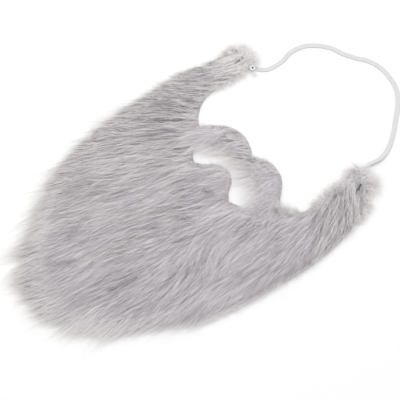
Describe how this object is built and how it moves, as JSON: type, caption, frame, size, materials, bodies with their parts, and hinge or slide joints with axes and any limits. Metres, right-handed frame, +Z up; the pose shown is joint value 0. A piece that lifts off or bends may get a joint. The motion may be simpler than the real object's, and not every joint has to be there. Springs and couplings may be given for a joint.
{
  "type": "fake beard",
  "caption": "Costume beard of grey faux fur on a knitted backing, with moustache, open mouth and two sideburns, worn on a flat elastic",
  "frame": {"origin": "under the middle of the fur panel's box, on the surface that the beard lies on", "axes": "+Z up through the pile, +Y from the chin to the ends of the sideburns, +X across the beard"},
  "size_m": [0.2402, 0.4148, 0.0118],
  "materials": {
    "grey_faux_fur": "long grey synthetic pile, combed towards the chin, on a light knitted backing",
    "white_elastic": "white woven elastic, matte",
    "dark_metal": "small dark crimped metal"
  },
  "bodies": {
    "root": {"fur_panel": "grey_faux_fur", "elastic_band": "white_elastic", "elastic_barb_left": "dark_metal", "elastic_barb_right": "dark_metal"}
  },
  "joints": []
}
